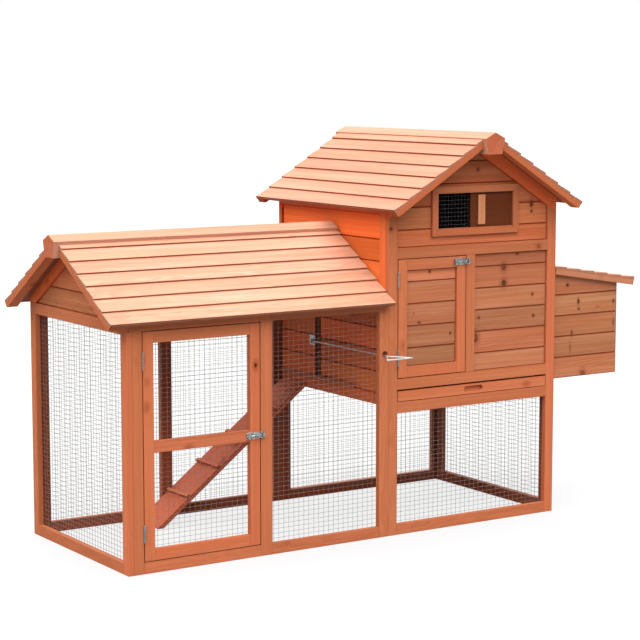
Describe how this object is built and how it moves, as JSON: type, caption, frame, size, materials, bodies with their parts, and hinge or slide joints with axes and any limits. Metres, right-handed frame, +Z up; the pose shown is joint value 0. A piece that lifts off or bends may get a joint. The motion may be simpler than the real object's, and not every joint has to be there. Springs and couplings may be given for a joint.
{
  "type": "chicken coop",
  "caption": "Wooden hen house raised beside a wire-mesh run, both under lapped-slat gable roofs, with hinged doors, a ramp, a sliding window and pop door, a pull-out tray and a nest box.",
  "frame": {"origin": "on the ground, in the middle of the box round the whole coop", "axes": "+X along the coop from the run to the nest box, +Y from its front to its back, +Z up"},
  "size_m": [2.1174, 0.887, 1.3257],
  "materials": {
    "frame_timber": "stained, matte",
    "cladding_boards": "stained, matte",
    "roof_timber": "stained, matte",
    "plywood": "stained, matte",
    "wire_mesh": "galvanised",
    "zinc_hardware": "zinc plated",
    "tray_sheet": "galvanised"
  },
  "bodies": {
    "coop": {"run_left_frame": "frame_timber", "run_front_frame": "frame_timber", "run_back_frame": "frame_timber", "house_front_frame": "frame_timber", "house_back_frame": "frame_timber", "house_left_frame": "frame_timber", "house_right_frame": "frame_timber", "window_trim": "frame_timber", "window_tracks": "frame_timber", "tray_runners": "frame_timber", "pop_door_tracks": "frame_timber", "run_left_gable_boards": "cladding_boards", "house_front_boards": "cladding_boards", "house_front_gable_boards": "cladding_boards", "house_back_boards": "cladding_boards", "house_left_boards": "cladding_boards", "house_right_boards": "cladding_boards", "nest_side_boards": "cladding_boards", "nest_end_boards": "cladding_boards", "nest_floor": "cladding_boards", "ramp_board": "cladding_boards", "ramp_cleats": "cladding_boards", "run_ridge_beam": "roof_timber", "run_roof_rafters": "roof_timber", "run_roof_front_slats": "roof_timber", "run_roof_back_slats": "roof_timber", "house_ridge_beam": "roof_timber", "house_roof_rafters": "roof_timber", "house_roof_left_slats": "roof_timber", "house_roof_right_slats": "roof_timber", "run_left_mesh": "wire_mesh", "run_front_mesh": "wire_mesh", "run_back_mesh": "wire_mesh", "under_house_mesh": "wire_mesh", "window_mesh": "wire_mesh", "run_door_fixed_hinge_leaves": "zinc_hardware", "run_door_bolt_keeper": "zinc_hardware", "house_door_fixed_hinge_leaves": "zinc_hardware", "house_door_bolt_keeper": "zinc_hardware", "nest_lid_fixed_hinge_leaves": "zinc_hardware"},
    "run_door": {"run_door_frame": "frame_timber", "run_door_mesh": "wire_mesh", "run_door_moving_hinge_leaves": "zinc_hardware", "run_door_bolt_plate": "zinc_hardware"},
    "run_door_bolt": {"run_door_bolt": "zinc_hardware"},
    "house_door": {"house_door_frame": "frame_timber", "house_door_boards": "cladding_boards", "house_door_moving_hinge_leaves": "zinc_hardware", "house_door_bolt_plate": "zinc_hardware"},
    "house_door_bolt": {"house_door_bolt": "zinc_hardware"},
    "window_shutter": {"window_panel": "plywood", "window_grip": "plywood"},
    "tray": {"tray_front": "frame_timber", "tray_pan": "tray_sheet"},
    "pop_door": {"pop_door_boards": "cladding_boards", "pop_door_bracket": "zinc_hardware", "pop_door_pull_rod": "zinc_hardware"},
    "nest_lid": {"nest_lid_slats": "roof_timber", "nest_lid_battens": "roof_timber", "nest_lid_moving_hinge_leaves": "zinc_hardware"}
  },
  "joints": [
    {"name": "run_door_hinge", "type": "hinge", "parent": "coop", "child": "run_door", "pos_m": [-0.91341, -0.3413, 0.3905], "axis": [0, 0, -1], "range_deg": [0, 110]},
    {"name": "run_door_bolt_slide", "type": "slide", "parent": "run_door", "child": "run_door_bolt", "axis": [1, 0, 0], "range_m": [0, 0.017]},
    {"name": "house_door_hinge", "type": "hinge", "parent": "coop", "child": "house_door", "pos_m": [0.02859, -0.3413, 0.7195], "axis": [0, 0, -1], "range_deg": [0, 90]},
    {"name": "house_door_bolt_slide", "type": "slide", "parent": "house_door", "child": "house_door_bolt", "axis": [1, 0, 0], "range_m": [0, 0.017]},
    {"name": "window_shutter_slide", "type": "slide", "parent": "coop", "child": "window_shutter", "axis": [-1, 0, 0], "range_m": [0, 0.14]},
    {"name": "tray_slide", "type": "slide", "parent": "coop", "child": "tray", "axis": [0, -1, 0], "range_m": [0, 0.5]},
    {"name": "pop_door_slide", "type": "slide", "parent": "coop", "child": "pop_door", "axis": [0, -1, 0], "range_m": [0, 0.225]},
    {"name": "nest_lid_hinge", "type": "hinge", "parent": "coop", "child": "nest_lid", "pos_m": [0.69839, 0, 0.86023], "axis": [0, -1, 0], "range_deg": [0, 75]}
  ]
}
